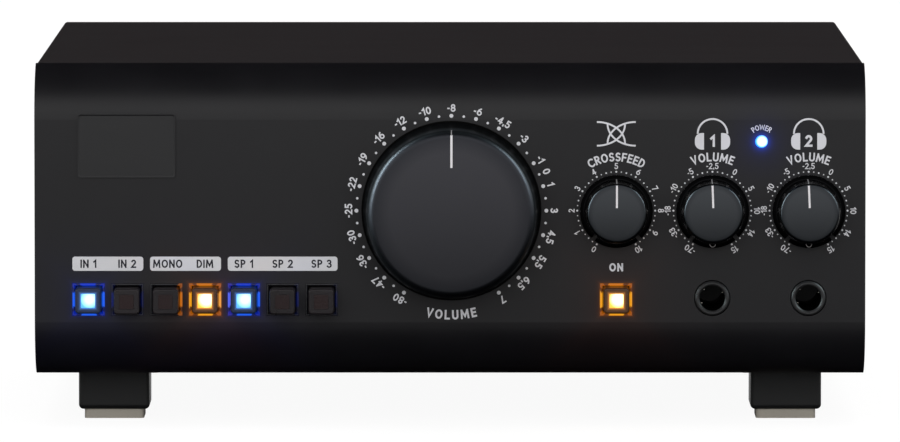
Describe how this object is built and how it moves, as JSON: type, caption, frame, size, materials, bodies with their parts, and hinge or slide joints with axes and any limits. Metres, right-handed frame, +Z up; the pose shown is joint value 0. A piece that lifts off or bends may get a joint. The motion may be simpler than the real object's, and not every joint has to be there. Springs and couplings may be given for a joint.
{
  "type": "studio monitor controller",
  "caption": "Desktop monitor controller: box case with rolled front panel, large volume knob, skirted knobs, lit square push buttons, headphone sockets and block feet.",
  "frame": {"origin": "under the middle of the whole object, on the surface it stands on", "axes": "+X to the right as seen from the front, +Y from the front panel to the rear panel, +Z up"},
  "size_m": [0.21, 0.234, 0.092],
  "materials": {
    "panel_coat": "satin black coat with a very fine grain",
    "cover_coat": "fine textured black powder coat",
    "foot_plastic": "matte black",
    "pad_rubber": "grey, matte",
    "screw_steel": "zinc plated",
    "board": "green solder mask",
    "brass_plate": "turned",
    "header_plastic": "moulded black",
    "ribbon_grey": "grey insulation",
    "capacitor_can": "dark sleeve",
    "winding": "varnished copper under tape",
    "pot_case": "plated",
    "knob_satin": "black anodised, satin",
    "knob_black": "satin black",
    "clear_collar": "clear moulded plastic",
    "cap_grey": "dark tinted, fine texture",
    "socket_metal": "black coated die-cast",
    "phono_metal": "nickel plated"
  },
  "bodies": {
    "case": {"front_panel": "panel_coat", "badge_plate": "panel_coat", "top_cover": "cover_coat", "chassis_tray": "cover_coat", "rear_panel": "cover_coat", "foot_front_left": "foot_plastic", "foot_front_right": "foot_plastic", "foot_rear_left": "foot_plastic", "foot_rear_right": "foot_plastic", "foot_pads": "pad_rubber", "foot_screws": "screw_steel", "front_board": "board", "main_board": "board", "board_spacers": "brass_plate", "ribbon_headers": "header_plastic", "ribbon_cable": "ribbon_grey", "filter_capacitors": "capacitor_can", "speaker_relays": "header_plastic", "mains_transformer": "winding", "transformer_pads": "pad_rubber", "transformer_clamp": "screw_steel", "transformer_bolt": "screw_steel", "volume_potentiometer": "pot_case", "crossfeed_potentiometer": "pot_case", "phones_1_potentiometer": "pot_case", "phones_2_potentiometer": "pot_case", "control_nuts": "screw_steel", "button_switches": "header_plastic", "button_collars": "clear_collar", "phones_1_jack": "header_plastic", "phones_2_jack": "header_plastic", "power_light": "clear_collar", "xlr_outputs": "socket_metal", "xlr_inputs": "socket_metal", "phono_sockets": "phono_metal", "mains_inlet": "header_plastic", "power_switch": "header_plastic", "cover_screws": "screw_steel", "rear_screws": "screw_steel", "inner_screws": "screw_steel"},
    "volume_control": {"volume_knob": "knob_satin", "volume_shaft": "pot_case"},
    "crossfeed_control": {"crossfeed_knob": "knob_black", "crossfeed_shaft": "pot_case"},
    "phones_1_control": {"phones_1_knob": "knob_black", "phones_1_shaft": "pot_case"},
    "phones_2_control": {"phones_2_knob": "knob_black", "phones_2_shaft": "pot_case"},
    "input_1_push": {"input_1_button": "cap_grey"},
    "input_2_push": {"input_2_button": "cap_grey"},
    "mono_push": {"mono_button": "cap_grey"},
    "dim_push": {"dim_button": "cap_grey"},
    "speaker_1_push": {"speaker_1_button": "cap_grey"},
    "speaker_2_push": {"speaker_2_button": "cap_grey"},
    "speaker_3_push": {"speaker_3_button": "cap_grey"},
    "crossfeed_push": {"crossfeed_button": "cap_grey"},
    "power_rocker": {"power_rocker": "header_plastic"},
    "fuse_drawer": {"fuse_drawer": "header_plastic"},
    "left_input_latch": {"left_input_latch": "socket_metal"},
    "right_input_latch": {"right_input_latch": "socket_metal"}
  },
  "joints": [
    {"name": "volume_turn", "type": "hinge", "parent": "case", "child": "volume_control", "pos_m": [0.00035, -0.102, 0.05525], "axis": [0, 1, 0], "range_deg": [-150, 150]},
    {"name": "crossfeed_turn", "type": "hinge", "parent": "case", "child": "crossfeed_control", "pos_m": [0.042, -0.102, 0.05525], "axis": [0, 1, 0], "range_deg": [-150, 150]},
    {"name": "phones_1_turn", "type": "hinge", "parent": "case", "child": "phones_1_control", "pos_m": [0.0663, -0.102, 0.05525], "axis": [0, 1, 0], "range_deg": [-148, 152]},
    {"name": "phones_2_turn", "type": "hinge", "parent": "case", "child": "phones_2_control", "pos_m": [0.0906, -0.102, 0.05525], "axis": [0, 1, 0], "range_deg": [-147.5, 152.5]},
    {"name": "input_1_press", "type": "slide", "parent": "case", "child": "input_1_push", "axis": [0, -1, 0], "range_m": [0, 0.0032]},
    {"name": "input_2_press", "type": "slide", "parent": "case", "child": "input_2_push", "axis": [0, 1, 0], "range_m": [0, 0.0032], "stiffness_N_per_m": 300, "springref_m": -0.001},
    {"name": "mono_press", "type": "slide", "parent": "case", "child": "mono_push", "axis": [0, 1, 0], "range_m": [0, 0.0032], "stiffness_N_per_m": 300, "springref_m": -0.001},
    {"name": "dim_press", "type": "slide", "parent": "case", "child": "dim_push", "axis": [0, -1, 0], "range_m": [0, 0.0032]},
    {"name": "speaker_1_press", "type": "slide", "parent": "case", "child": "speaker_1_push", "axis": [0, -1, 0], "range_m": [0, 0.0032]},
    {"name": "speaker_2_press", "type": "slide", "parent": "case", "child": "speaker_2_push", "axis": [0, 1, 0], "range_m": [0, 0.0032], "stiffness_N_per_m": 300, "springref_m": -0.001},
    {"name": "speaker_3_press", "type": "slide", "parent": "case", "child": "speaker_3_push", "axis": [0, 1, 0], "range_m": [0, 0.0032], "stiffness_N_per_m": 300, "springref_m": -0.001},
    {"name": "crossfeed_press", "type": "slide", "parent": "case", "child": "crossfeed_push", "axis": [0, -1, 0], "range_m": [0, 0.0032]},
    {"name": "power_rock", "type": "hinge", "parent": "case", "child": "power_rocker", "pos_m": [-0.078, 0.107, 0.0682], "axis": [1, 0, 0], "range_deg": [0, 16]},
    {"name": "fuse_drawer_slide", "type": "slide", "parent": "case", "child": "fuse_drawer", "axis": [0, 1, 0], "range_m": [0, 0.018]},
    {"name": "left_latch_press", "type": "slide", "parent": "case", "child": "left_input_latch", "axis": [0, 0, -1], "range_m": [0, 0.0014], "stiffness_N_per_m": 1000, "springref_m": -0.0005},
    {"name": "right_latch_press", "type": "slide", "parent": "case", "child": "right_input_latch", "axis": [0, 0, -1], "range_m": [0, 0.0014], "stiffness_N_per_m": 1000, "springref_m": -0.0005}
  ]
}
